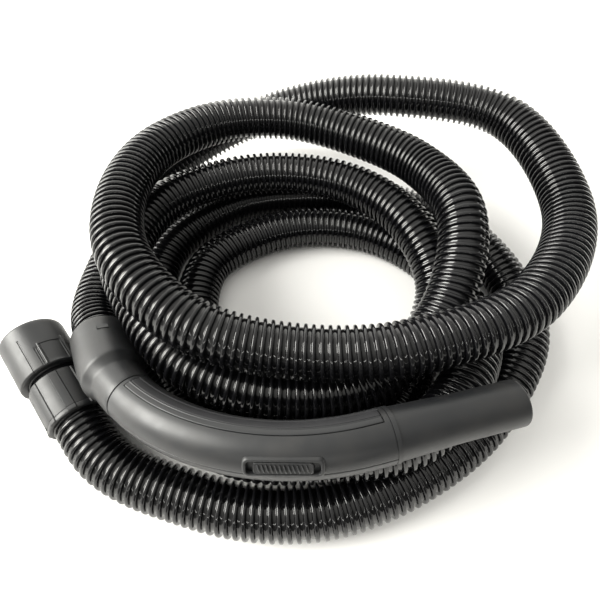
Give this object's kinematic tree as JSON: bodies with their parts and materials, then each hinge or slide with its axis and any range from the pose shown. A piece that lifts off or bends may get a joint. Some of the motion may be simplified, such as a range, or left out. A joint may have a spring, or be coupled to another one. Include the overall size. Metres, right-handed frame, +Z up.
{
  "type": "vacuum hose",
  "caption": "Coiled ribbed suction hose with a bent grip handle, an air-relief slide and a swivel cup for the machine.",
  "frame": {"origin": "on the floor, under the middle of the two fittings' box, the hose left out", "axes": "+Z up from the floor; +X along the handle's spigot side, from the connector cup towards the free end of the handle; +Y towards the back of the coil"},
  "size_m": [0.5127, 0.4526, 0.1336],
  "materials": {
    "hose_eva": "glossy moulded EVA",
    "grey_shell": "satin moulded ABS",
    "dark_plastic": "satin moulded polypropylene",
    "soft_rubber": "matt rubber"
  },
  "bodies": {
    "hose_group": {"hose": "hose_eva", "cuff_sleeve": "grey_shell", "cuff_end_ring": "dark_plastic", "handle_swivel": "dark_plastic"},
    "connector": {"connector_cup": "grey_shell", "connector_seal": "soft_rubber", "throat_ring": "dark_plastic", "swivel_ring": "dark_plastic"},
    "handle": {"handle_tube": "grey_shell", "clip_ring": "dark_plastic", "handle_seal": "soft_rubber", "grip_shell_upper": "grey_shell", "grip_shell_lower": "grey_shell", "grip_pad": "soft_rubber", "grip_strip": "dark_plastic", "grip_end_ring": "dark_plastic", "vent_bezel": "dark_plastic"},
    "relief": {"air_slide": "dark_plastic"}
  },
  "joints": [
    {"name": "connector_swivel", "type": "hinge", "parent": "hose_group", "child": "connector", "pos_m": [-0.15389, 0.02037, 0.02639], "axis": [0.6336, -0.7714, -0.0593], "continuous": true},
    {"name": "handle_swivel_turn", "type": "hinge", "parent": "hose_group", "child": "handle", "pos_m": [-0.10128, 0.02574, 0.05326], "axis": [0.484, -0.8055, 0.342], "range_deg": [0, 120]},
    {"name": "air_relief_slide", "type": "hinge", "parent": "handle", "child": "relief", "pos_m": [0.05272, 0.11167, 0.02896], "axis": [-0.0551, 0.362, 0.9305], "range_deg": [-1.17, 1.17]}
  ]
}
